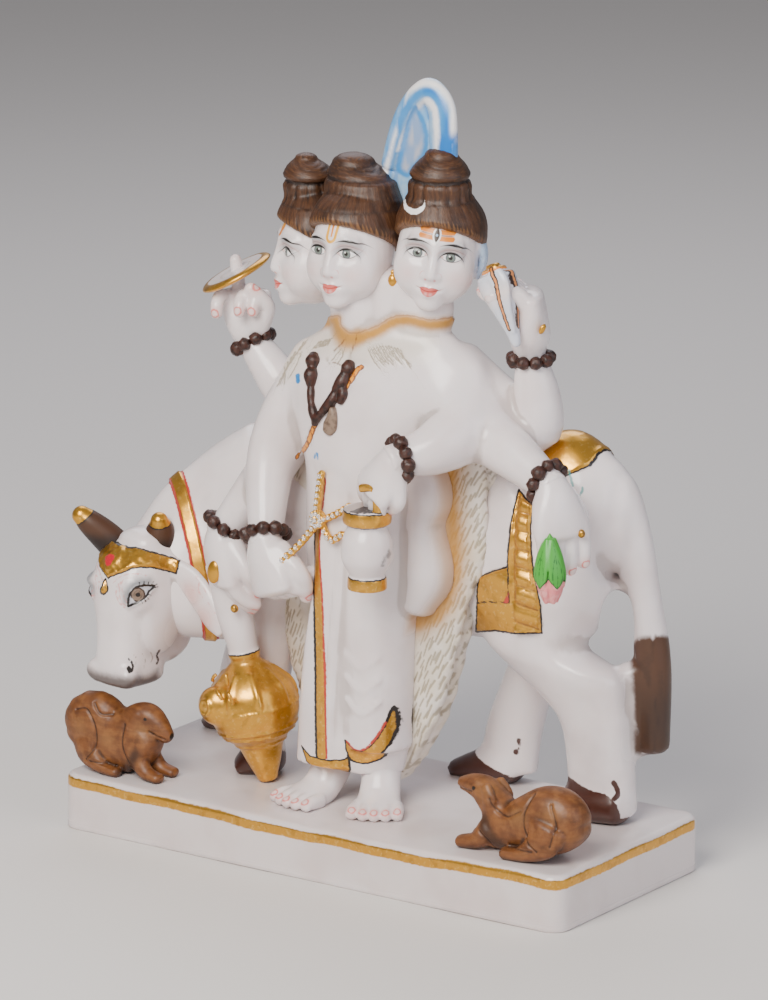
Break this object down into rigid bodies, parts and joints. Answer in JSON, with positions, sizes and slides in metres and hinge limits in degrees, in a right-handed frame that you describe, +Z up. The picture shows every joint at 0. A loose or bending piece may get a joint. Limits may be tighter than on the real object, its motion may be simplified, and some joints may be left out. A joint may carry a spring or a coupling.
{
  "type": "dattatreya statue",
  "caption": "Painted white marble statue: a three-headed, six-armed standing figure with a cow behind and lying dogs on a rectangular slab, a gold crystal-set cord at its waist.",
  "frame": {"origin": "centre of the slab's flat underside, on which the statue stands", "axes": "+Z up; the standing figure faces -Y, and the cow behind it faces -X, with +X along the slab's length towards the cow's tail"},
  "size_m": [0.2414, 0.0986, 0.3009],
  "materials": {
    "statue": "polished white marble with painted detail",
    "jewelled_cord": "bright gilt claws set with clear crystals"
  },
  "bodies": {
    "root": {"statue": "statue", "jewelled_cord": "jewelled_cord"}
  },
  "joints": []
}
